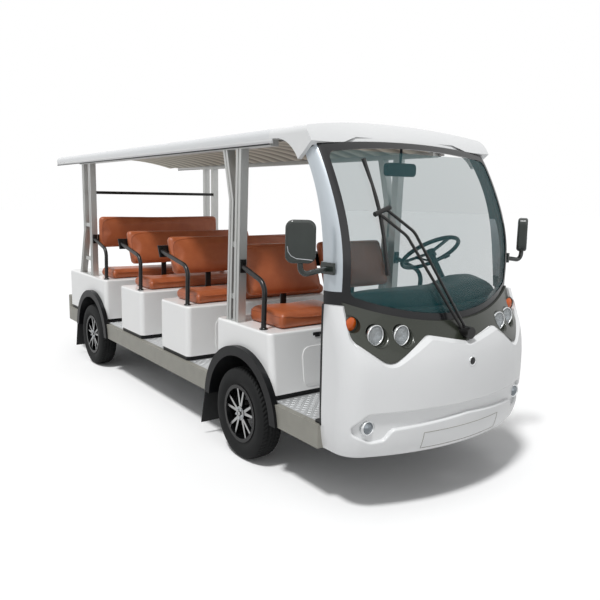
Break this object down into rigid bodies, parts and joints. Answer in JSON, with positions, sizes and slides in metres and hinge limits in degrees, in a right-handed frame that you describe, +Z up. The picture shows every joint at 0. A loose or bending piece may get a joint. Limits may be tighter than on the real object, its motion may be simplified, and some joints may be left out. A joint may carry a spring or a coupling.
{
  "type": "shuttle bus",
  "caption": "Open-sided electric shuttle bus with bench rows on white seat boxes, a wrapped windscreen, a full-length roof and steered front wheels.",
  "frame": {"origin": "on the ground under the middle of the vehicle's length and width", "axes": "+X forwards, +Y to the vehicle's left, +Z up"},
  "size_m": [5.0611, 1.9162, 2.0759],
  "materials": {
    "white_body": "gloss",
    "olive_trim": "satin",
    "black_trim": "satin",
    "silver_paint": "metallic",
    "screen_glass": "tinted",
    "amber_lens": "clear lens",
    "lamp_lens": "clear lens over chrome",
    "red_lens": "clear lens",
    "post_aluminium": "brushed",
    "deck_aluminium": "tread plate",
    "sill_grey": "satin",
    "seat_brown": "leatherette",
    "black_steel": "satin",
    "chassis_steel": "satin",
    "axle_iron": "cast",
    "tyre_rubber": "matte",
    "rim_alloy": "machined",
    "flap_rubber": "matte",
    "dash_teal": "grained",
    "battery_case": "satin"
  },
  "bodies": {
    "vehicle": {"front_cowl": "white_body", "lamp_mask": "olive_trim", "windscreen_surround": "black_trim", "windscreen": "screen_glass", "windscreen_posts": "silver_paint", "turn_lamps": "amber_lens", "headlamps": "lamp_lens", "fog_lamps": "lamp_lens", "roof_panel": "white_body", "roof_cap": "silver_paint", "roof_rails": "black_trim", "front_roof_posts": "post_aluminium", "rear_roof_posts": "post_aluminium", "rear_bar": "black_steel", "wheel_arches": "black_trim", "front_seat_box": "white_body", "middle_seat_boxes": "white_body", "rear_body": "white_body", "box_plinths": "black_trim", "seat_cushions": "seat_brown", "seat_backs": "seat_brown", "seat_frames": "black_steel", "grab_rails_right": "black_steel", "grab_rails_left": "black_steel", "floor_deck": "deck_aluminium", "side_sills": "sill_grey", "chassis_rails": "chassis_steel", "cross_members": "chassis_steel", "leaf_springs": "chassis_steel", "front_axle": "axle_iron", "rear_axle": "axle_iron", "mud_flaps": "flap_rubber", "steering_column": "black_trim", "dash": "dash_teal", "door_mirrors": "olive_trim", "inner_mirror": "black_trim", "wiper": "black_steel", "rear_bumper": "sill_grey", "tail_lamps": "red_lens", "tow_eye": "chassis_steel", "battery_packs": "battery_case"},
    "steering": {"steering_wheel": "black_trim"},
    "knuckle_left": {"knuckle_left": "axle_iron"},
    "knuckle_right": {"knuckle_right": "axle_iron"},
    "tie_rod": {"tie_rod": "chassis_steel"},
    "wheel_front_left": {"tyre_front_left": "tyre_rubber", "rim_front_left": "rim_alloy"},
    "wheel_front_right": {"tyre_front_right": "tyre_rubber", "rim_front_right": "rim_alloy"},
    "wheel_rear_left": {"tyre_rear_left": "tyre_rubber", "rim_rear_left": "rim_alloy"},
    "wheel_rear_right": {"tyre_rear_right": "tyre_rubber", "rim_rear_right": "rim_alloy"}
  },
  "joints": [
    {"name": "steering_turn", "type": "hinge", "parent": "vehicle", "child": "steering", "pos_m": [1.886, 0.33, 1.311], "axis": [-0.5736, 0, 0.8192], "range_deg": [-448, 448]},
    {"name": "knuckle_left_turn", "type": "hinge", "parent": "vehicle", "child": "knuckle_left", "pos_m": [1.322, 0.6, 0.292], "axis": [0, 0, 1], "range_deg": [-28, 28]},
    {"name": "knuckle_right_turn", "type": "hinge", "parent": "vehicle", "child": "knuckle_right", "pos_m": [1.322, -0.6, 0.292], "axis": [0, 0, 1], "range_deg": [-28, 28]},
    {"name": "tie_rod_pivot", "type": "hinge", "parent": "knuckle_right", "child": "tie_rod", "pos_m": [1.202, -0.6, 0.295], "axis": [0, 0, 1], "range_deg": [-28, 28]},
    {"name": "wheel_front_left_spin", "type": "hinge", "parent": "knuckle_left", "child": "wheel_front_left", "pos_m": [1.322, 0.6625, 0.292], "axis": [0, 1, 0], "continuous": true},
    {"name": "wheel_front_right_spin", "type": "hinge", "parent": "knuckle_right", "child": "wheel_front_right", "pos_m": [1.322, -0.6625, 0.292], "axis": [0, 1, 0], "continuous": true},
    {"name": "wheel_rear_left_spin", "type": "hinge", "parent": "vehicle", "child": "wheel_rear_left", "pos_m": [-1.468, 0.6625, 0.292], "axis": [0, 1, 0], "continuous": true},
    {"name": "wheel_rear_right_spin", "type": "hinge", "parent": "vehicle", "child": "wheel_rear_right", "pos_m": [-1.468, -0.6625, 0.292], "axis": [0, 1, 0], "continuous": true}
  ],
  "couplings": [
    {"joint": "knuckle_left_turn", "follows": "steering_turn", "ratio": 0.0625},
    {"joint": "knuckle_right_turn", "follows": "steering_turn", "ratio": 0.0625},
    {"joint": "tie_rod_pivot", "follows": "steering_turn", "ratio": -0.0625}
  ]
}
